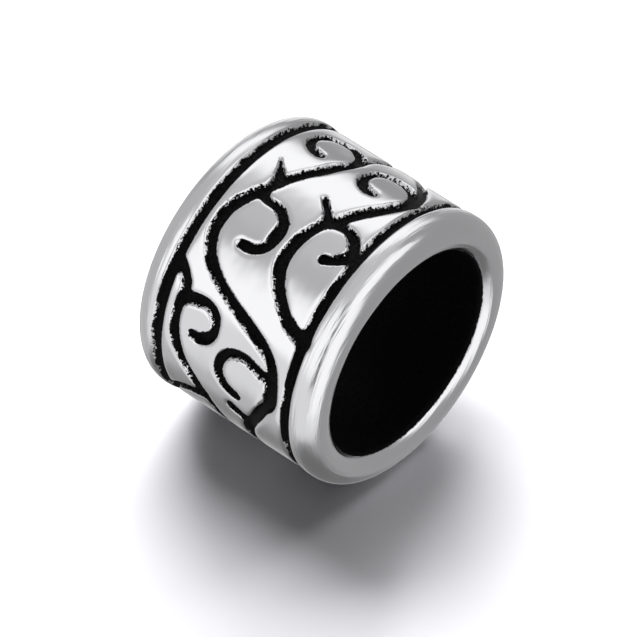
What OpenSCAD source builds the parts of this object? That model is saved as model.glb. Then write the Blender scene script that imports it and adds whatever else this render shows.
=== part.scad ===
// Dreadlock bead: a short, thick ring cast in one piece, with a rolled rim at
// each end and a band between them that carries scrolls sunk below its face.
// It lies on its side, bore along Y, with its lowest line at z = -outer_d / 2.

/* [Ring] */
// Width across the rolled rims
outer_d = 12.0; // [11.6:0.1:13]
// Length from end to end
length = 9.4; // [9.2:0.1:10]
// Clear bore that the lock of hair goes through
bore_d = 9.0; // [8:0.1:9.4]
// How far the band's face lies below the rims
band_drop = 0.05; // [0:0.01:0.1]
// Width of the circle along the crest of each rim
crest_d = 10.3; // [10:0.1:10.5]

/* [Border grooves] */
// Middle of the groove beside the near rim, along Y
near_groove_y = -3.25; // [-3.35:0.05:-3.2]
// Middle of the groove beside the far rim, along Y
far_groove_y = 3.4; // [3.3:0.05:3.45]
// Width of a border groove at the band's face
border_w = 0.46; // [0.3:0.02:0.5]
// Depth of a border groove below the band's face
border_depth = 0.27; // [0.2:0.01:0.4]

/* [Scroll grooves] */
// Depth of the main scrolls below the band's face
scroll_depth = 0.25; // [0.15:0.01:0.4]
// Lean of the groove walls from upright, in degrees
wall_lean = 12; // [0:1:20]

/* [Hidden] */
$fn = 96;

outer_r = outer_d / 2;
band_r = outer_r - band_drop;
bore_r = bore_d / 2;
crest_r = crest_d / 2;
rim_outer_r = outer_r - crest_r;
rim_inner_r = crest_r - bore_r;
mm_per_deg = band_r * PI / 180;

// How far a cutter stands above the face it cuts
over = 0.3;
// Steps along a groove between two rows of its table
steps = 3;
// Angles of the sections that round off the end of a groove
cap_angles = [25, 50, 75];
// The scrolls repeat at these turns about the bore
repeat_turns = [0, 180];

// Columns of the groove tables: degrees around the bore, millimetres along Y,
// and the groove's width at the band's face
AROUND = 0;
ALONG = 1;
WIDTH = 2;

// Near curl, its shoulder, and the vine that runs down to the near border
upper_scroll = [
    [75.5, -1.32, 0.44],
    [75.5, -1.00, 0.50],
    [73.8, -0.65, 0.50],
    [70.8, -0.43, 0.47],
    [67.5, -0.38, 0.45],
    [64.0, -0.42, 0.43],
    [60.8, -0.62, 0.44],
    [58.7, -1.00, 0.46],
    [58.1, -1.50, 0.50],
    [60.0, -2.04, 0.50],
    [62.7, -2.38, 0.50],
    [67.3, -2.64, 0.53],
    [72.0, -2.63, 0.52],
    [75.0, -2.53, 0.57],
    [80.0, -2.31, 0.57],
    [85.0, -2.02, 0.59],
    [90.0, -1.72, 0.56],
    [95.0, -1.45, 0.50],
    [100.0, -1.07, 0.50],
    [105.0, -0.85, 0.50],
    [110.0, -0.70, 0.54],
    [115.0, -0.63, 0.54],
    [120.0, -0.64, 0.58],
    [125.0, -0.79, 0.54],
    [130.0, -1.10, 0.50],
    [133.0, -1.37, 0.50],
    [136.0, -1.69, 0.50],
    [139.0, -2.04, 0.53],
    [141.5, -2.50, 0.58],
    [142.7, -2.95, 0.62],
    [143.0, -3.20, 0.64],
];

// Far curl, its shoulder, and the long vine that crosses the band and runs on
// into the shoulder of the next near curl
lower_scroll = [
    [72.5, 1.67, 0.46],
    [72.3, 1.92, 0.47],
    [70.8, 2.23, 0.46],
    [68.1, 2.50, 0.44],
    [65.0, 2.62, 0.42],
    [61.3, 2.57, 0.43],
    [57.2, 2.36, 0.48],
    [54.7, 1.95, 0.50],
    [54.3, 1.47, 0.50],
    [55.5, 1.08, 0.50],
    [57.6, 0.80, 0.50],
    [60.8, 0.50, 0.45],
    [65.0, 0.43, 0.41],
    [70.0, 0.54, 0.47],
    [75.0, 0.73, 0.56],
    [80.0, 0.90, 0.53],
    [85.0, 1.17, 0.48],
    [90.0, 1.42, 0.46],
    [95.0, 1.68, 0.50],
    [100.0, 1.88, 0.48],
    [105.0, 2.16, 0.52],
    [110.0, 2.42, 0.56],
    [115.0, 2.60, 0.55],
    [120.0, 2.64, 0.53],
    [125.0, 2.60, 0.53],
    [130.0, 2.40, 0.50],
    [135.0, 2.06, 0.50],
    [139.3, 1.50, 0.48],
    [142.2, 1.00, 0.46],
    [144.5, 0.50, 0.46],
    [146.6, 0.00, 0.49],
    [148.6, -0.50, 0.52],
    [150.8, -1.00, 0.54],
    [153.2, -1.50, 0.54],
    [156.0, -1.95, 0.50],
    [159.0, -2.22, 0.48],
    [163.0, -2.38, 0.52],
    [168.0, -2.42, 0.66],
    [173.0, -2.43, 0.70],
    [176.5, -2.36, 0.64],
    [180.0, -2.15, 0.50],
    [185.0, -1.86, 0.50],
    [190.0, -1.59, 0.46],
    [195.0, -1.30, 0.48],
    [200.0, -1.08, 0.56],
    [206.0, -0.98, 0.54],
    [212.0, -1.00, 0.50],
    [218.0, -1.15, 0.46],
    [225.0, -1.48, 0.45],
    [230.0, -1.86, 0.44],
    [235.0, -2.24, 0.46],
    [240.0, -2.50, 0.48],
    [244.0, -2.61, 0.50],
    [247.0, -2.65, 0.48],
];

// Curl that turns up towards the near border
near_curl = [
    [98.8, -1.15, 0.42],
    [97.9, -1.62, 0.42],
    [97.6, -2.00, 0.40],
    [99.3, -2.46, 0.47],
    [103.5, -2.80, 0.50],
    [107.0, -2.81, 0.50],
    [109.5, -2.60, 0.50],
    [111.6, -2.28, 0.44],
    [112.8, -2.06, 0.42],
];

near_spur = [
    [98.5, -1.00, 0.40],
    [95.0, -0.74, 0.31],
    [92.6, -0.44, 0.30],
    [91.2, -0.26, 0.26],
];

// Curl in the middle of the band
middle_curl = [
    [102.5, 1.95, 0.46],
    [104.2, 1.60, 0.40],
    [104.5, 1.25, 0.37],
    [104.7, 0.95, 0.41],
    [105.8, 0.65, 0.42],
    [108.4, 0.34, 0.46],
    [111.7, 0.21, 0.55],
    [115.0, 0.20, 0.57],
    [119.0, 0.24, 0.49],
    [121.7, 0.40, 0.43],
    [123.3, 0.67, 0.44],
    [124.0, 0.95, 0.46],
    [124.2, 1.25, 0.40],
];

far_spur = [
    [96.0, 1.78, 0.50],
    [93.5, 1.92, 0.46],
    [91.0, 2.04, 0.38],
    [88.6, 2.26, 0.20],
    [86.0, 2.46, 0.12],
];

// Curl under the shoulder where the long vine turns back
shoulder_curl = [
    [166.0, -2.20, 0.50],
    [164.7, -1.80, 0.50],
    [163.7, -1.45, 0.45],
    [162.5, -1.10, 0.42],
    [162.5, -0.75, 0.42],
    [163.2, -0.45, 0.43],
    [164.6, -0.15, 0.43],
    [167.0, 0.07, 0.43],
    [170.3, 0.20, 0.42],
    [173.3, 0.23, 0.43],
    [176.6, 0.13, 0.44],
    [179.9, -0.13, 0.47],
    [181.8, -0.50, 0.46],
    [182.2, -0.72, 0.44],
];

shoulder_spur = [
    [194.0, -1.15, 0.54],
    [192.3, -0.82, 0.50],
    [190.6, -0.43, 0.52],
];

// Vine that rises from the far border and joins the next far shoulder
border_vine = [
    [142.8, 3.15, 0.60],
    [144.8, 2.86, 0.50],
    [148.0, 2.60, 0.48],
    [152.0, 2.56, 0.43],
    [156.0, 2.60, 0.41],
    [160.0, 2.63, 0.41],
    [165.0, 2.63, 0.46],
    [170.0, 2.54, 0.49],
    [175.0, 2.37, 0.50],
    [180.0, 2.12, 0.47],
    [185.0, 1.79, 0.52],
    [190.0, 1.44, 0.52],
    [194.0, 1.17, 0.48],
    [200.0, 0.88, 0.42],
    [206.0, 0.68, 0.40],
    [212.0, 0.48, 0.40],
    [218.0, 0.32, 0.38],
    [225.0, 0.30, 0.40],
    [230.0, 0.38, 0.38],
    [235.0, 0.44, 0.38],
    [241.0, 0.50, 0.36],
];

border_curl = [
    [154.5, 2.52, 0.36],
    [152.6, 2.22, 0.50],
    [151.6, 1.92, 0.52],
    [151.0, 1.50, 0.47],
    [151.7, 1.15, 0.48],
    [153.6, 0.86, 0.48],
    [157.5, 0.73, 0.42],
    [161.3, 0.77, 0.43],
    [164.2, 1.00, 0.50],
    [166.0, 1.35, 0.50],
    [166.1, 1.68, 0.46],
];

border_branch = [
    [194.5, 1.15, 0.48],
    [197.3, 1.50, 0.50],
    [199.0, 1.95, 0.50],
    [201.5, 2.45, 0.50],
    [205.0, 2.85, 0.45],
    [209.0, 3.15, 0.42],
    [212.0, 3.35, 0.40],
];

// Each groove's table, and how much shallower it is than the main scrolls, so
// that no two floors meet at one level
TABLE = 0;
RISE = 1;
grooves = [
    [upper_scroll, 0.00],
    [lower_scroll, 0.02],
    [near_curl, 0.04],
    [near_spur, 0.06],
    [middle_curl, 0.04],
    [far_spur, 0.06],
    [shoulder_curl, 0.04],
    [shoulder_spur, 0.06],
    [border_vine, 0.04],
    [border_curl, 0.06],
    [border_branch, 0.06],
];

// Smooth curve through the rows of a table, ends held
function row_at(rows, i) = rows[max(0, min(len(rows) - 1, i))];
function blend(a, b, c, d, t) =
    b + (c - a) * t / 2
    + (2 * a - 5 * b + 4 * c - d) * t * t / 2
    + (3 * b - a - 3 * c + d) * t * t * t / 2;
function curve(rows) = [
    for (i = [0 : len(rows) - 2])
        for (k = [0 : steps - 1])
            blend(row_at(rows, i - 1), rows[i], rows[i + 1], row_at(rows, i + 2), k / steps),
    rows[len(rows) - 1]
];

// Flat position in millimetres, direction of travel, and its left-hand side
function flat(row) = [row[AROUND] * mm_per_deg, row[ALONG]];
function heading(pts, i) =
    let (d = flat(row_at(pts, i + 1)) - flat(row_at(pts, i - 1)))
    d / norm(d);
function aside(v) = [-v[1], v[0]];

// A point laid flat, wrapped onto radius r
function wrapped(p, r) =
    let (a = p[0] / mm_per_deg)
    [r * cos(a), p[1], r * sin(a)];

// One four-cornered section of a groove, floor first; angle a sets it forward
// or back on the round end of the groove
function section(row, dir, a, floor_r) =
    let (
        top_r = band_r + over,
        lean = tan(wall_lean),
        low = row[WIDTH] / 2 - (band_r - floor_r) * lean,
        high = row[WIDTH] / 2 + over * lean,
        c = flat(row),
        side = aside(dir)
    )
    [
        wrapped(c + low * (sin(a) * dir - cos(a) * side), floor_r),
        wrapped(c + low * (sin(a) * dir + cos(a) * side), floor_r),
        wrapped(c + high * (sin(a) * dir + cos(a) * side), top_r),
        wrapped(c + high * (sin(a) * dir - cos(a) * side), top_r)
    ];

function sections(pts, floor_r) =
    let (last = len(pts) - 1, caps = len(cap_angles) - 1)
    [
        for (k = [caps : -1 : 0])
            section(pts[0], heading(pts, 0), -cap_angles[k], floor_r),
        for (i = [0 : last])
            section(pts[i], heading(pts, i), 0, floor_r),
        for (k = [0 : caps])
            section(pts[last], heading(pts, last), cap_angles[k], floor_r)
    ];

// Solid that cuts one groove, as a tube with four sides
module groove_cutter(rows, rise) {
    rings = sections(curve(rows), band_r - scroll_depth + rise);
    n = len(rings);
    points = [for (ring = rings) each ring];
    sides = [
        for (i = [0 : n - 2])
            for (k = [0 : 3])
                let (a = 4 * i + k, b = 4 * i + (k + 1) % 4)
                each [[a, b, b + 4], [a, b + 4, a + 4]]
    ];
    ends = [[0, 2, 1], [0, 3, 2], [4 * n - 4, 4 * n - 3, 4 * n - 2], [4 * n - 4, 4 * n - 2, 4 * n - 1]];
    polyhedron(points = points, faces = concat(sides, ends));
}

// Half of the ring's section at one end: rolled over outside and inside
module rim_section() {
    intersection() {
        translate([crest_r, length / 2 - rim_outer_r])
            circle(r = rim_outer_r);
        translate([crest_r, length / 2 - rim_outer_r])
            square([rim_outer_r, rim_outer_r]);
    }
    intersection() {
        translate([crest_r, length / 2 - rim_inner_r])
            circle(r = rim_inner_r);
        translate([bore_r, length / 2 - rim_inner_r])
            square([rim_inner_r, rim_inner_r]);
    }
    translate([bore_r, 0])
        square([rim_inner_r, length / 2 - rim_inner_r]);
    translate([crest_r, 0])
        square([rim_outer_r, length / 2 - rim_outer_r]);
}

// Section of a border groove, wider at its mouth
module border_section(y) {
    lean = tan(wall_lean);
    low = border_w / 2 - border_depth * lean;
    high = border_w / 2 + over * lean;
    translate([band_r, y])
        polygon([[-border_depth, -low], [over, -high], [over, high], [-border_depth, low]]);
}

module ring() {
    rotate([-90, 0, 0])
        rotate_extrude()
            difference() {
                union() {
                    rim_section();
                    mirror([0, 1])
                        rim_section();
                }
                translate([band_r, near_groove_y])
                    square([over, far_groove_y - near_groove_y]);
                border_section(near_groove_y);
                border_section(far_groove_y);
            }
}

module bead() {
    color("silver")
        difference() {
            ring();
            for (turn = repeat_turns)
                rotate([0, -turn, 0])
                    for (groove = grooves)
                        groove_cutter(groove[TABLE], groove[RISE]);
        }
}

bead();
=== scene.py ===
import bpy
import numpy as np
from mathutils import Matrix


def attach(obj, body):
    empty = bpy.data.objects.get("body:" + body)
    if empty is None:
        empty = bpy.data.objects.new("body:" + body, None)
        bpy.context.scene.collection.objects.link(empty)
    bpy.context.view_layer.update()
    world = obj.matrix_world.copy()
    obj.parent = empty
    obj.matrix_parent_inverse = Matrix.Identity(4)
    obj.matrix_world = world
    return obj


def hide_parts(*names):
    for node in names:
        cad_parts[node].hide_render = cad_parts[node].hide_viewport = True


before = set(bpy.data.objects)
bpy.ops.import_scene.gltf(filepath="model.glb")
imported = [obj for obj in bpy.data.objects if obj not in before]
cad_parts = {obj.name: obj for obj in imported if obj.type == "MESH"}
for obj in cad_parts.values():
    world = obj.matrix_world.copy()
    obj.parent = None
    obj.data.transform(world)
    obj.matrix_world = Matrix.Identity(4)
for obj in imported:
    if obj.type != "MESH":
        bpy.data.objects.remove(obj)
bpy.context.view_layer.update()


# The bead: one piece of cast stainless steel. Its scrolls are sunk below a band
# between two rolled rims, and the whole is tumbled and polished, then blackened
# in the sunk parts. Lengths are in millimetres, and MM is one in metres.
MM = 0.001
OUTER_R = 6.0
BAND_R = 5.95
BORE_R = 4.5
CREST_R = 5.15
LENGTH = 9.4
RIM_OUTER_R = OUTER_R - CREST_R
RIM_INNER_R = CREST_R - BORE_R
FACE_HALF = LENGTH / 2 - RIM_OUTER_R
BORE_HALF = LENGTH / 2 - RIM_INNER_R
MM_PER_DEG = BAND_R * np.pi / 180
HALF_TURN = 180 * MM_PER_DEG

# A border groove is its middle along Y and its half-width. Every wall falls
# from LIP, outside the groove's edge, to FOOT, inside it. Where grooves meet,
# their corner is filled over BLEND. Polishing has lowered the metal at the lip
# by SHOULDER_DROP, which fades out SHOULDER away from it. A scroll's distance is
# worked out up to GROOVE_REACH outside the rectangle around its line. NO_GROOVE
# is the distance where there is none to measure, as in the bore.
BORDER_GROOVES = [(-3.25, 0.23), (3.4, 0.23)]
GROOVE_DEPTH = 0.25
LIP = 0.03
FOOT = -0.08
BLEND = 0.2
SHOULDER = 0.20
SHOULDER_DROP = 0.016
NO_GROOVE = 9.0
GROOVE_REACH = 1.0

# The mesh: its columns around the ring, its rows along the outer face, and its
# steps over each quarter circle and along the bore. The face's rows and columns
# are drawn to two lines beside each groove's edge, where its slope is clear.
COLUMNS = 584
FACE_ROWS = 112
RIM_STEPS = 15
MOUTH_STEPS = 12
BORE_STEPS = 6
LIP_LINE = 0.018
FOOT_LINE = -0.055
DRAWING_PASSES = 2
CLEAR_SLOPE = 0.6
NUDGE = 0.01

# The bore's black ends at this radius on its rounded mouth, and fades over the
# last of it.
BORE_BLACK_R = 4.62
BORE_BLACK_FADE = 0.06

# Each groove's middle line: degrees around the bore, millimetres along Y, and
# the groove's width. The scrolls come twice, half a turn apart.
SCROLLS = [
    [(75.5, -1.32, 0.44), (75.5, -1.00, 0.50), (73.8, -0.65, 0.50), (70.8, -0.43, 0.47),
     (67.5, -0.38, 0.45), (64.0, -0.42, 0.43), (60.8, -0.62, 0.44), (58.7, -1.00, 0.46),
     (58.1, -1.50, 0.50), (60.0, -2.04, 0.50), (62.7, -2.38, 0.50), (67.3, -2.64, 0.53),
     (72.0, -2.63, 0.52), (75.0, -2.53, 0.57), (80.0, -2.31, 0.57), (85.0, -2.02, 0.59),
     (90.0, -1.72, 0.56), (95.0, -1.45, 0.50), (100.0, -1.07, 0.50), (105.0, -0.85, 0.50),
     (110.0, -0.70, 0.54), (115.0, -0.63, 0.54), (120.0, -0.64, 0.58), (125.0, -0.79, 0.54),
     (130.0, -1.10, 0.50), (133.0, -1.37, 0.50), (136.0, -1.69, 0.50), (139.0, -2.04, 0.53),
     (141.5, -2.50, 0.58), (142.7, -2.95, 0.62), (143.0, -3.20, 0.64)],
    [(72.5, 1.67, 0.46), (72.3, 1.92, 0.47), (70.8, 2.23, 0.46), (68.1, 2.50, 0.44),
     (65.0, 2.62, 0.42), (61.3, 2.57, 0.43), (57.2, 2.36, 0.48), (54.7, 1.95, 0.50),
     (54.3, 1.47, 0.50), (55.5, 1.08, 0.50), (57.6, 0.80, 0.50), (60.8, 0.50, 0.45),
     (65.0, 0.43, 0.41), (70.0, 0.54, 0.47), (75.0, 0.73, 0.56), (80.0, 0.90, 0.53),
     (85.0, 1.17, 0.48), (90.0, 1.42, 0.46), (95.0, 1.68, 0.50), (100.0, 1.88, 0.48),
     (105.0, 2.16, 0.52), (110.0, 2.42, 0.56), (115.0, 2.60, 0.55), (120.0, 2.64, 0.53),
     (125.0, 2.60, 0.53), (130.0, 2.40, 0.50), (135.0, 2.06, 0.50), (139.3, 1.50, 0.48),
     (142.2, 1.00, 0.46), (144.5, 0.50, 0.46), (146.6, 0.00, 0.49), (148.6, -0.50, 0.52),
     (150.8, -1.00, 0.54), (153.2, -1.50, 0.54), (156.0, -1.95, 0.50), (159.0, -2.22, 0.48),
     (163.0, -2.38, 0.52), (168.0, -2.42, 0.66), (173.0, -2.43, 0.70), (176.5, -2.36, 0.64),
     (180.0, -2.15, 0.50), (185.0, -1.86, 0.50), (190.0, -1.59, 0.46), (195.0, -1.30, 0.48),
     (200.0, -1.08, 0.56), (206.0, -0.98, 0.54), (212.0, -1.00, 0.50), (218.0, -1.15, 0.46),
     (225.0, -1.48, 0.45), (230.0, -1.86, 0.44), (235.0, -2.24, 0.46), (240.0, -2.50, 0.48),
     (244.0, -2.61, 0.50), (247.0, -2.65, 0.48)],
    [(98.8, -1.15, 0.42), (97.9, -1.62, 0.42), (97.6, -2.00, 0.40), (99.3, -2.46, 0.47),
     (103.5, -2.80, 0.50), (107.0, -2.81, 0.50), (109.5, -2.60, 0.50), (111.6, -2.28, 0.44),
     (112.8, -2.06, 0.42)],
    [(98.5, -1.00, 0.40), (95.0, -0.74, 0.31), (92.6, -0.44, 0.30), (91.2, -0.26, 0.26)],
    [(102.5, 1.95, 0.46), (104.2, 1.60, 0.40), (104.5, 1.25, 0.37), (104.7, 0.95, 0.41),
     (105.8, 0.65, 0.42), (108.4, 0.34, 0.46), (111.7, 0.21, 0.55), (115.0, 0.20, 0.57),
     (119.0, 0.24, 0.49), (121.7, 0.40, 0.43), (123.3, 0.67, 0.44), (124.0, 0.95, 0.46),
     (124.2, 1.25, 0.40)],
    [(96.0, 1.78, 0.50), (93.5, 1.92, 0.46), (91.0, 2.04, 0.38), (88.6, 2.26, 0.20),
     (86.0, 2.46, 0.12)],
    [(166.0, -2.20, 0.50), (164.7, -1.80, 0.50), (163.7, -1.45, 0.45), (162.5, -1.10, 0.42),
     (162.5, -0.75, 0.42), (163.2, -0.45, 0.43), (164.6, -0.15, 0.43), (167.0, 0.07, 0.43),
     (170.3, 0.20, 0.42), (173.3, 0.23, 0.43), (176.6, 0.13, 0.44), (179.9, -0.13, 0.47),
     (181.8, -0.50, 0.46), (182.2, -0.72, 0.44)],
    [(194.0, -1.15, 0.54), (192.3, -0.82, 0.50), (190.6, -0.43, 0.52)],
    [(142.8, 3.15, 0.60), (144.8, 2.86, 0.50), (148.0, 2.60, 0.48), (152.0, 2.56, 0.43),
     (156.0, 2.60, 0.41), (160.0, 2.63, 0.41), (165.0, 2.63, 0.46), (170.0, 2.54, 0.49),
     (175.0, 2.37, 0.50), (180.0, 2.12, 0.47), (185.0, 1.79, 0.52), (190.0, 1.44, 0.52),
     (194.0, 1.17, 0.48), (200.0, 0.88, 0.42), (206.0, 0.68, 0.40), (212.0, 0.48, 0.40),
     (218.0, 0.32, 0.38), (225.0, 0.30, 0.40), (230.0, 0.38, 0.38), (235.0, 0.44, 0.38),
     (241.0, 0.50, 0.36)],
    [(154.5, 2.52, 0.36), (152.6, 2.22, 0.50), (151.6, 1.92, 0.52), (151.0, 1.50, 0.47),
     (151.7, 1.15, 0.48), (153.6, 0.86, 0.48), (157.5, 0.73, 0.42), (161.3, 0.77, 0.43),
     (164.2, 1.00, 0.50), (166.0, 1.35, 0.50), (166.1, 1.68, 0.46)],
    [(194.5, 1.15, 0.48), (197.3, 1.50, 0.50), (199.0, 1.95, 0.50), (201.5, 2.45, 0.50),
     (205.0, 2.85, 0.45), (209.0, 3.15, 0.42), (212.0, 3.35, 0.40)],
]


def smooth_line(rows, steps=5):
    """Catmull-Rom curve through the rows, ends held, with `steps` points from one row to the next."""
    rows = np.array(rows)
    before, start, end, after = (
        rows[np.clip(np.arange(len(rows) - 1) + k, 0, len(rows) - 1)][:, None] for k in (-1, 0, 1, 2))
    t = (np.arange(steps) / steps)[None, :, None]
    line = start + (end - before) * t / 2
    line = line + (2 * before - 5 * start + 4 * end - after) * t**2 / 2
    line = line + (3 * start - before - 3 * end + after) * t**3 / 2
    return np.vstack([line.reshape(-1, 3), rows[-1:]])


def line_distance(points, line):
    """Distance from each flat point to a line of changing half-width: that to the nearest stretch of its
    middle, less the half-width there, so it is negative inside the groove."""
    start, end = line[:-1], line[1:]
    run = end[:, :2] - start[:, :2]
    rel = points[:, None, :] - start[None, :, :2]
    t = np.clip((rel * run).sum(-1) / (run**2).sum(-1), 0, 1)
    gap = np.hypot(rel[..., 0] - t * run[:, 0], rel[..., 1] - t * run[:, 1])
    return (gap - (start[:, 2] + t * (end[:, 2] - start[:, 2]))).min(1)


def joined(p, q):
    """The smaller of two distances, rounded over BLEND where they meet."""
    h = np.clip(0.5 + 0.5 * (q - p) / BLEND, 0, 1)
    return q + (p - q) * h - BLEND * h * (1 - h)


def groove_distance(around, along):
    """Distance from flat points (mm around the band, mm along Y) to the nearest groove's edge, negative
    inside: the smallest over all grooves. Points lie in the first half turn; the second half repeats it."""
    points = np.stack([around, along], -1)
    total = np.full(len(points), NO_GROOVE)
    for rows in SCROLLS:
        line = smooth_line(rows) * [MM_PER_DEG, 1, 0.5]
        for shift in (-HALF_TURN, 0):
            moved = line + [shift, 0, 0]
            low, high = moved[:, :2].min(0) - GROOVE_REACH, moved[:, :2].max(0) + GROOVE_REACH
            near = ((points > low) & (points < high)).all(1)
            if near.any():
                total[near] = joined(total[near], line_distance(points[near], moved))
    for middle, half in BORDER_GROOVES:
        total = joined(total, np.abs(along - middle) - half)
    return total


def eased(t):
    """0 to 1 with a level start and end: 3t^2 - 2t^3."""
    t = np.clip(t, 0, 1)
    return t * t * (3 - 2 * t)


def flat_grid():
    """Grid over the outer face for half a turn, drawn to the grooves: each point within half a cell of a
    wall's lip or foot line is moved onto it along the slope of the distance, so that both run smoothly
    through the grid."""
    half = COLUMNS // 2
    cell_u = HALF_TURN / half
    cell_v = 2 * FACE_HALF / (FACE_ROWS - 1)
    rows = np.linspace(-FACE_HALF, FACE_HALF, FACE_ROWS)
    u, v = np.meshgrid(np.arange(half) * cell_u, rows, indexing="ij")
    u, v = u.ravel(), v.ravel()
    inner = np.abs(v) < FACE_HALF - NUDGE
    for _ in range(DRAWING_PASSES):
        d = groove_distance(u % HALF_TURN, v)
        slope_u = (groove_distance((u + NUDGE) % HALF_TURN, v) - d) / NUDGE
        slope_v = (groove_distance(u % HALF_TURN, v + NUDGE) - d) / NUDGE
        slope = np.hypot(slope_u, slope_v)
        divisor = np.maximum(slope, CLEAR_SLOPE)
        line = np.where(np.abs(d - LIP_LINE) < np.abs(d - FOOT_LINE), LIP_LINE, FOOT_LINE)
        off = (d - line) / divisor
        move = inner & (np.abs(off) < max(cell_u, cell_v) / 2) & (slope > CLEAR_SLOPE)
        u = np.where(move, u - off * slope_u / divisor, u)
        v = np.where(move, v - off * slope_v / divisor, v)
    d = groove_distance(u % HALF_TURN, v)
    shape = (half, FACE_ROWS)
    return u.reshape(shape), v.reshape(shape), d.reshape(shape)


def arc(middle_r, middle_y, radius, start, end, count):
    """Points on an arc in the ring's section, from after angle start to angle end: the middle plus radius
    times cosine and sine. Each is the ring's radius there, then Y."""
    a = np.radians(np.linspace(start, end, count + 1)[1:])
    return np.stack([middle_r + radius * np.cos(a), middle_y + radius * np.sin(a)], -1)


def bead_grid():
    """The whole skin as a closed grid, (angle, section). The face is the flat grid wrapped on its radius,
    sunk in the grooves; then a quarter circle rolls over the far rim, another into the bore, and the near end
    mirrors it. With it come two numbers for each point: its distance from the grooves, and 1 where the bore
    is black."""
    u, v, d = flat_grid()
    u = np.vstack([u, u + HALF_TURN])
    v, d = np.vstack([v, v]), np.vstack([d, d])
    on_band = (v > BORDER_GROOVES[0][0]) & (v < BORDER_GROOVES[1][0])
    worn = SHOULDER_DROP * (1 - np.clip((d - LIP) / SHOULDER, 0, 1)) ** 2
    radius = np.where(on_band, BAND_R, OUTER_R) - GROOVE_DEPTH * eased((LIP - d) / (LIP - FOOT)) - worn
    section = np.vstack([
        arc(CREST_R, FACE_HALF, RIM_OUTER_R, 0, 90, RIM_STEPS),
        arc(CREST_R, BORE_HALF, RIM_INNER_R, 90, 180, MOUTH_STEPS),
        np.stack([np.full(BORE_STEPS, BORE_R), np.linspace(BORE_HALF, -BORE_HALF, BORE_STEPS + 1)[1:]], -1),
        arc(CREST_R, -BORE_HALF, RIM_INNER_R, 180, 270, MOUTH_STEPS),
        arc(CREST_R, -FACE_HALF, RIM_OUTER_R, 270, 360, RIM_STEPS)[:-1],
    ])
    section_r, section_y = section.T
    count = len(section)
    even = np.arange(COLUMNS) * 360 / COLUMNS * MM_PER_DEG
    u = np.hstack([u, np.repeat(even[:, None], count, 1)])
    v = np.hstack([v, np.repeat(section_y[None], COLUMNS, 0)])
    radius = np.hstack([radius, np.repeat(section_r[None], COLUMNS, 0)])
    d = np.hstack([d, np.full((COLUMNS, count), NO_GROOVE)])
    black = eased((BORE_BLACK_R - section_r) / BORE_BLACK_FADE)
    black = np.hstack([np.zeros((COLUMNS, FACE_ROWS)), np.repeat(black[None], COLUMNS, 0)])
    angle = u / BAND_R
    return np.stack([radius * np.cos(angle), v, radius * np.sin(angle)], -1), d, black


def grid_mesh(name, grid, fields):
    """Mesh of a grid closed both ways. Each cell is split on the diagonal whose ends differ least in height
    above the bore's axis, and each field is kept as a number at every point."""
    n, m = grid.shape[:2]
    index = np.arange(n * m).reshape(n, m)
    a, b = index, np.roll(index, -1, 0)
    c, d = np.roll(b, -1, 1), np.roll(index, -1, 1)
    height = np.hypot(grid[..., 0], grid[..., 2]).ravel()
    split_on_ac = (np.abs(height[a] - height[c]) <= np.abs(height[b] - height[d]))[..., None]
    tri = np.stack([
        np.where(split_on_ac, np.stack([a, c, b], -1), np.stack([a, d, b], -1)),
        np.where(split_on_ac, np.stack([a, d, c], -1), np.stack([b, d, c], -1)),
    ], 2).reshape(-1, 3)
    mesh = bpy.data.meshes.new(name)
    mesh.vertices.add(n * m)
    mesh.vertices.foreach_set("co", (grid * MM).astype(np.float32).ravel())
    mesh.loops.add(tri.size)
    mesh.loops.foreach_set("vertex_index", tri.astype(np.int32).ravel())
    mesh.polygons.add(len(tri))
    mesh.polygons.foreach_set("loop_start", np.arange(0, tri.size, 3, dtype=np.int32))
    mesh.polygons.foreach_set("use_smooth", np.ones(len(tri), dtype=bool))
    for field, values in fields.items():
        attribute = mesh.attributes.new(field, "FLOAT", "POINT")
        attribute.data.foreach_set("value", values.astype(np.float32).ravel())
    mesh.update(calc_edges=True)
    mesh.validate()
    piece = bpy.data.objects.new(name, mesh)
    bpy.context.scene.collection.objects.link(piece)
    return piece


def linear(hex_colour):
    """sRGB hex colour as linear red, green, blue and full alpha."""
    c = np.array([int(hex_colour[i:i + 2], 16) for i in (1, 3, 5)]) / 255
    return (*np.where(c <= 0.04045, c / 12.92, ((c + 0.055) / 1.055) ** 2.4), 1.0)


def node(tree, kind, settings=None, **inputs):
    """Adds one node. Its settings are its properties. Its inputs are its sockets, by name with _ for a space,
    or by number as i0, i1 and so on, each with a value or with the socket that feeds it."""
    new = tree.nodes.new(kind)
    for key, value in (settings or {}).items():
        setattr(new, key, value)
    for key, value in inputs.items():
        numbered = key[0] == "i" and key[1:].isdigit()
        socket = new.inputs[int(key[1:]) if numbered else key.replace("_", " ")]
        if isinstance(value, bpy.types.NodeSocket):
            tree.links.new(value, socket)
        else:
            socket.default_value = value
    return new


# The finish. Patterns are counted in marks to the millimetre, and heights and
# distances are in millimetres. A rim's finish starts at RIM_STARTS from the
# middle of the length and is full at RIM_FULL.
STEEL = "#c1c1c3"
OXIDE = "#010101"
OXIDE_FLECK = "#131314"
STEEL_ROUGHNESS = 0.13
RIM_ROUGHNESS = 0.20
OXIDE_ROUGHNESS = 0.5
OXIDE_GLOSS = 0.04
RIM_STARTS = 3.5
RIM_FULL = 3.7
FLECKS_PER_MM = 9.0
PATCHES_PER_MM = 1.1
WAVES_PER_MM = 0.6
WAVE_HEIGHT = 0.03
CRINKLE_HEIGHT = 0.04
MARKS_ACROSS_PER_MM = 7.0
MARKS_ALONG_PER_MM = 0.6
MARK_HEIGHT = 0.022

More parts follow.
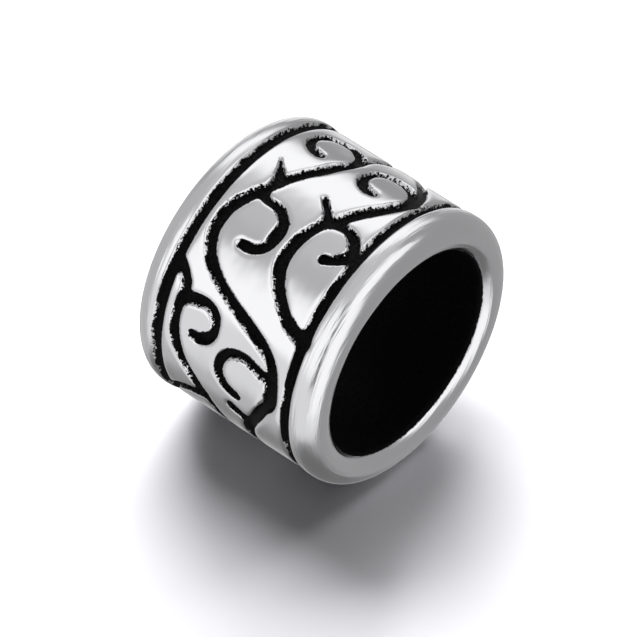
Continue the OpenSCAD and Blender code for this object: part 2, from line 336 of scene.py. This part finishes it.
# The oxide is full at OXIDE_FULL from the groove's edge and gone at OXIDE_ENDS.
# The fleck moves both into the groove by RUBBED_LEAST to RUBBED_MOST, but by
# only BETWEEN_PATCHES of that outside rubbed patches, which grow with height.
OXIDE_ENDS = 0.032
OXIDE_FULL = 0.016
RUBBED_LEAST = 0.015
RUBBED_MOST = 0.08
BETWEEN_PATCHES = 0.15
GROWTH_WITH_HEIGHT = 0.02
BORE_FRAYING = 0.8

# A noise stays mostly between 0.3 and 0.7. Each pair gives the two levels that
# a patch, the ragged line, the bore's frayed edge and the grey fleck run between.
PATCH_LEVELS = (0.46, 0.62)
RAGGED_LEVELS = (0.40, 0.62)
FRAYED_LEVELS = (0.8, 1.0)
FLECK_LEVELS = (0.4, 0.7)


def oxide_cover(tree, mm, height, fleck, edge):
    """1 under the oxide and 0 on bare steel, the larger of two numbers. In the grooves it is the distance
    from the edge plus what is rubbed off, stepped down over the oxide's end. In the bore it is the bore's own
    mark plus a share of the fleck, stepped up just below 1."""
    patches = node(tree, "ShaderNodeTexNoise", Vector=mm, Scale=PATCHES_PER_MM, Detail=1.0).outputs["Fac"]
    rubbing = node(tree, "ShaderNodeMath", {"operation": "MULTIPLY_ADD"},
                   i0=height, i1=GROWTH_WITH_HEIGHT, i2=patches).outputs[0]
    rubbed = node(tree, "ShaderNodeMapRange", Value=rubbing, From_Min=PATCH_LEVELS[0],
                  From_Max=PATCH_LEVELS[1], To_Min=BETWEEN_PATCHES).outputs[0]
    ragged = node(tree, "ShaderNodeMapRange", Value=fleck, From_Min=RAGGED_LEVELS[0],
                  From_Max=RAGGED_LEVELS[1], To_Min=RUBBED_LEAST, To_Max=RUBBED_MOST).outputs[0]
    level = node(tree, "ShaderNodeMath", {"operation": "MULTIPLY_ADD"},
                 i0=rubbed, i1=ragged, i2=edge).outputs[0]
    sunk = node(tree, "ShaderNodeMapRange", Value=level,
                From_Min=OXIDE_ENDS, From_Max=OXIDE_FULL).outputs[0]
    bore = node(tree, "ShaderNodeAttribute", {"attribute_name": "bore_black"}).outputs["Fac"]
    frayed = node(tree, "ShaderNodeMath", {"operation": "MULTIPLY_ADD"},
                  i0=fleck, i1=BORE_FRAYING, i2=bore).outputs[0]
    inside = node(tree, "ShaderNodeMapRange", Value=frayed,
                  From_Min=FRAYED_LEVELS[0], From_Max=FRAYED_LEVELS[1]).outputs[0]
    return node(tree, "ShaderNodeMath", {"operation": "MAXIMUM"}, i0=sunk, i1=inside).outputs[0]


def polished_relief(tree, mm, fleck, edge, rim):
    """The direction of the polished surface: a slight wave all over, the fleck as a crinkle on the grooves'
    walls, and on the rims fine marks that run round the bore, a noise that changes fast with Y and with the
    radius and slowly around."""
    wave = node(tree, "ShaderNodeTexNoise", Vector=mm, Scale=WAVES_PER_MM, Detail=1.5).outputs["Fac"]
    waved = node(tree, "ShaderNodeBump", Strength=1.0, Distance=WAVE_HEIGHT * MM,
                 Height=wave).outputs[0]
    wall = node(tree, "ShaderNodeMapRange", Value=edge, From_Min=LIP, From_Max=0.0).outputs[0]
    crinkled = node(tree, "ShaderNodeBump", Strength=wall, Distance=CRINKLE_HEIGHT * MM,
                    Height=fleck, Normal=waved).outputs[0]
    flat = node(tree, "ShaderNodeVectorMath", {"operation": "MULTIPLY"}, i0=mm, i1=(1, 0, 1)).outputs[0]
    radius = node(tree, "ShaderNodeVectorMath", {"operation": "LENGTH"}, i0=flat).outputs["Value"]
    across = node(tree, "ShaderNodeMath", {"operation": "MULTIPLY"},
                  i0=radius, i1=MARKS_ACROSS_PER_MM).outputs[0]
    along = node(tree, "ShaderNodeVectorMath", {"operation": "MULTIPLY"}, i0=mm,
                 i1=(MARKS_ALONG_PER_MM, MARKS_ACROSS_PER_MM, MARKS_ALONG_PER_MM)).outputs[0]
    shifted = node(tree, "ShaderNodeCombineXYZ", X=across).outputs[0]
    drawn = node(tree, "ShaderNodeVectorMath", {"operation": "ADD"}, i0=along, i1=shifted).outputs[0]
    marks = node(tree, "ShaderNodeTexNoise", Vector=drawn, Scale=1.0, Detail=2.0).outputs["Fac"]
    return node(tree, "ShaderNodeBump", Strength=rim, Distance=MARK_HEIGHT * MM,
                Height=marks, Normal=crinkled).outputs[0]


def blackened_steel():
    """Cast stainless steel, tumbled and polished, with black oxide left in the grooves and the bore. To the
    eye it is a slightly wavy mirror, a little duller along the rims, beside a matt black with a soft grey
    fleck. Where the oxide is rubbed back from a groove's lip, the bare wall shows as a bright ragged line."""
    material = bpy.data.materials.new("polished_cast_steel_blackened")
    material.use_nodes = True
    tree = material.node_tree
    tree.nodes.clear()
    coords = node(tree, "ShaderNodeTexCoord")
    mm = node(tree, "ShaderNodeMapping", Vector=coords.outputs["Object"],
              Scale=(1 / MM, 1 / MM, 1 / MM)).outputs[0]
    place = node(tree, "ShaderNodeSeparateXYZ", i0=mm).outputs
    edge = node(tree, "ShaderNodeAttribute", {"attribute_name": "groove_distance"}).outputs["Fac"]
    fleck = node(tree, "ShaderNodeTexNoise", Vector=mm, Scale=FLECKS_PER_MM,
                 Detail=3.0, Roughness=0.65).outputs["Fac"]
    from_middle = node(tree, "ShaderNodeMath", {"operation": "ABSOLUTE"}, i0=place["Y"]).outputs[0]
    rim = node(tree, "ShaderNodeMapRange", Value=from_middle,
               From_Min=RIM_STARTS, From_Max=RIM_FULL).outputs[0]
    black = oxide_cover(tree, mm, place["Z"], fleck, edge)
    grey = node(tree, "ShaderNodeMapRange", Value=fleck,
                From_Min=FLECK_LEVELS[0], From_Max=FLECK_LEVELS[1]).outputs[0]
    oxide = node(tree, "ShaderNodeMix", {"data_type": "RGBA"},
                 i0=grey, i6=linear(OXIDE), i7=linear(OXIDE_FLECK)).outputs[2]
    colour = node(tree, "ShaderNodeMix", {"data_type": "RGBA"},
                  i0=black, i6=linear(STEEL), i7=oxide).outputs[2]
    polish = node(tree, "ShaderNodeMapRange", Value=rim,
                  To_Min=STEEL_ROUGHNESS, To_Max=RIM_ROUGHNESS).outputs[0]
    rough = node(tree, "ShaderNodeMapRange", Value=black,
                 To_Min=polish, To_Max=OXIDE_ROUGHNESS).outputs[0]
    metal = node(tree, "ShaderNodeMapRange", Value=black, To_Min=1.0, To_Max=0.0).outputs[0]
    shader = node(tree, "ShaderNodeBsdfPrincipled", Base_Color=colour, Roughness=rough, Metallic=metal,
                  Specular_IOR_Level=OXIDE_GLOSS, Normal=polished_relief(tree, mm, fleck, edge, rim))
    node(tree, "ShaderNodeOutputMaterial", Surface=shader.outputs[0])
    return material


skin, edge_distance, bore_black = bead_grid()
bead = grid_mesh("bead_cast", skin, {"groove_distance": edge_distance, "bore_black": bore_black})
bead.data.materials.append(blackened_steel())
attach(bead, "root")
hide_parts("bead")


# The sheet: matt white paper, laid flat under the bead and far wider than the
# view. The polish doesn't mirror it: the surround below stands for it there.
# Lengths are in metres from here on.
FLOOR_Z = -OUTER_R * MM
FLOOR_HALF = 1.2
PAPER = "#f4f3f8"
PAPER_ROUGHNESS = 0.9
PAPER_GLOSS = 0.1


def matt_paper():
    """Matt white paper, a plain even white with next to no gloss."""
    material = bpy.data.materials.new("matt_white_paper")
    material.use_nodes = True
    surface = material.node_tree.nodes["Principled BSDF"]
    surface.inputs["Base Color"].default_value = linear(PAPER)
    surface.inputs["Roughness"].default_value = PAPER_ROUGHNESS
    surface.inputs["Specular IOR Level"].default_value = PAPER_GLOSS
    return material


def flat_square(name, half, z):
    """Flat square, `half` to each side of the origin, at height z."""
    corners = [(x * half, y * half, z) for x, y in ((-1, -1), (1, -1), (1, 1), (-1, 1))]
    mesh = bpy.data.meshes.new(name)
    mesh.from_pydata(corners, [], [(0, 1, 2, 3)])
    square = bpy.data.objects.new(name, mesh)
    bpy.context.scene.collection.objects.link(square)
    return square


floor = flat_square("floor", FLOOR_HALF, FLOOR_Z)
floor.data.materials.append(matt_paper())
floor.visible_glossy = False


# The softboxes light the sheet and throw the bead's shadow. A row gives around,
# up, wide and high in degrees, then the brightness. The polish doesn't mirror
# them: the surround stands for them there.
SOFTBOX_DISTANCE = 0.5
SOFTBOXES = {
    "softbox_high": (35, 60, 43, 21, 12.5),
    "softbox_back_right": (49, 25, 41, 20, 15.0),
    "softbox_right": (98, 33, 25, 50, 2.2),
    "softbox_top": (0, 88, 40, 40, 0.35),
}


def direction(around, up):
    """Unit vector `around` degrees from +Y towards +X and `up` degrees above the level."""
    a, e = np.radians((around, up))
    return np.array([np.cos(e) * np.sin(a), np.cos(e) * np.cos(a), np.sin(e)])


def facing_bead(place):
    """Matrix that stands an object at `place`, upright, with its -Z towards the bead at the origin."""
    back = place / np.linalg.norm(place)
    right = np.cross((0, 0, 1), back)
    right /= np.linalg.norm(right)
    m = np.eye(4)
    m[:3, 0], m[:3, 1], m[:3, 2], m[:3, 3] = right, np.cross(back, right), back, place
    return Matrix(m.tolist())


def softbox(name, around, up, wide, high, brightness):
    """Rectangular softbox that faces the bead. A side seen as so many degrees is twice the distance times the
    tangent of half that angle, and the power grows with the area, so it looks as bright at any size."""
    light = bpy.data.lights.new(name, "AREA")
    light.shape = "RECTANGLE"
    light.size = 2 * SOFTBOX_DISTANCE * np.tan(np.radians(wide / 2))
    light.size_y = 2 * SOFTBOX_DISTANCE * np.tan(np.radians(high / 2))
    light.energy = brightness * np.pi * light.size * light.size_y
    lamp = bpy.data.objects.new(name, light)
    lamp.matrix_world = facing_bead(SOFTBOX_DISTANCE * direction(around, up))
    lamp.visible_glossy = False
    bpy.context.scene.collection.objects.link(lamp)


for name, row in SOFTBOXES.items():
    softbox(name, *row)


# The surround, which the polish mirrors: pale walls, bright screens, a dark
# patch straight below that is a painted shadow of the bead on the sheet, and one
# narrow dark strip, each laid over those before. A row gives around, up,
# half_wide, half_high and edge in degrees, then its light.
WALL = 0.53
FULL = 1.76
SCREENS = [
    (-25, 2, 38, 60, 16, 0.78),
    (0, 90, 200, 32, 10, 0.91),
    (45, 38, 31, 18, 18, FULL),
    (42, -18, 18, 16, 10, 1.2),
    (-112, -26, 60, 26, 12, 1.25),
    (-79, 28, 27, 28, 12, FULL),
    (176, 54, 56, 19, 10, FULL),
    (-150, 6, 25, 42, 14, FULL),
    # painted shadow: the bead's shadow on the sheet below, as the polish mirrors it
    (0, -90, 200, 29, 16, 0.25),
    (-112, 26, 5, 34, 4, 0.08),
]

# The sheet as the bead throws its light back: a painted shadow of the bead, dark
# near it, and bright far off. Directions are told apart by their Z, which is -1
# straight down.
NEAR_Z = -0.4
# painted shadow: the sheet's light just below the bead, where its shadow lies
NEAR_PAINTED_SHADOW = 0.05
FAR_Z = -0.15
FAR_LIGHT = 1.6


def screen(tree, sight, under, around, up, half_wide, half_high, edge, brightness):
    """Soft-edged screen laid over what is under it: its brightness, where the direction is within half_wide
    and half_high of the screen's middle, fading over `edge`. The direction is turned to the middle's azimuth
    before its angles are taken."""
    turned = node(tree, "ShaderNodeVectorRotate", {"rotation_type": "Z_AXIS"}, Vector=sight,
                  Angle=float(np.radians(around))).outputs[0]
    part = node(tree, "ShaderNodeSeparateXYZ", i0=turned).outputs
    level = node(tree, "ShaderNodeMath", {"operation": "ARCSINE"}, i0=part["Z"]).outputs[0]
    side = node(tree, "ShaderNodeMath", {"operation": "ARCTAN2"}, i0=part["X"], i1=part["Y"]).outputs[0]
    masks = []
    for angle, middle, half in ((side, 0, half_wide), (level, up, half_high)):
        off = node(tree, "ShaderNodeMath", {"operation": "SUBTRACT"},
                   i0=angle, i1=float(np.radians(middle))).outputs[0]
        away = node(tree, "ShaderNodeMath", {"operation": "ABSOLUTE"}, i0=off).outputs[0]
        masks.append(node(tree, "ShaderNodeMapRange", {"interpolation_type": "SMOOTHSTEP"}, Value=away,
                          From_Min=float(np.radians(half + edge / 2)),
                          From_Max=float(np.radians(half - edge / 2))).outputs[0])
    mask = node(tree, "ShaderNodeMath", {"operation": "MULTIPLY"}, i0=masks[0], i1=masks[1]).outputs[0]
    return node(tree, "ShaderNodeMix", {"data_type": "FLOAT"}, i0=mask, i2=under, i3=brightness).outputs[0]


def sheet_for_bounced_light(tree, sight, seen):
    """What is seen in a direction. For light that the bead throws on the sheet, a direction below the level
    shows the sheet instead, whose light runs from near to far with the direction's Z: a painted shadow of
    the bead near it, bright far off."""
    bounces = node(tree, "ShaderNodeLightPath").outputs["Diffuse Depth"]
    bounced = node(tree, "ShaderNodeMath", {"operation": "MINIMUM"}, i0=bounces, i1=1.0).outputs[0]
    z = node(tree, "ShaderNodeSeparateXYZ", i0=sight).outputs["Z"]
    below = node(tree, "ShaderNodeMath", {"operation": "LESS_THAN"}, i0=z, i1=0.0).outputs[0]
    # painted shadow of the bead near it, bright sheet far off
    sheet = node(tree, "ShaderNodeMapRange", Value=z, From_Min=NEAR_Z, From_Max=FAR_Z,
                 To_Min=NEAR_PAINTED_SHADOW, To_Max=FAR_LIGHT).outputs[0]
    hidden = node(tree, "ShaderNodeMath", {"operation": "MULTIPLY"}, i0=below, i1=bounced).outputs[0]
    return node(tree, "ShaderNodeMix", {"data_type": "FLOAT"}, i0=hidden, i2=seen, i3=sheet).outputs[0]


world = bpy.data.worlds.new("studio_walls")
bpy.context.scene.world = world
world.use_nodes = True
world.cycles_visibility.diffuse = False
walls = world.node_tree
sight = node(walls, "ShaderNodeTexCoord").outputs["Generated"]
light_level = WALL
for row in SCREENS:
    light_level = screen(walls, sight, light_level, *row)
light_level = sheet_for_bounced_light(walls, sight, light_level)
background = walls.nodes["Background"]
background.inputs["Color"].default_value = linear("#ffffff")
walls.links.new(light_level, background.inputs["Strength"])


# The camera stands as the photograph's did, 378 mm away, and looks 46 degrees
# down. Its focal length and shift are those that fit the bead's outline, in
# pixels of the photograph, which is PHOTO_PX wide and high.
CAMERA_AROUND = 228.8
CAMERA_UP = 46.1
CAMERA_DISTANCE = 0.378
PHOTO_PX = 637
FOCAL_PX = 9639
SHIFT_X_PX = -3.6
SHIFT_Y_PX = -18.3
SENSOR_MM = 36

lens = bpy.data.cameras.new("camera")
lens.sensor_width = SENSOR_MM
lens.lens = FOCAL_PX / PHOTO_PX * SENSOR_MM
lens.shift_x = SHIFT_X_PX / PHOTO_PX
lens.shift_y = SHIFT_Y_PX / PHOTO_PX
lens.clip_start = 0.01
camera = bpy.data.objects.new("camera", lens)
camera.matrix_world = facing_bead(CAMERA_DISTANCE * direction(CAMERA_AROUND, CAMERA_UP))
bpy.context.scene.collection.objects.link(camera)
bpy.context.scene.camera = camera
bpy.context.scene.view_settings.view_transform = "Standard"
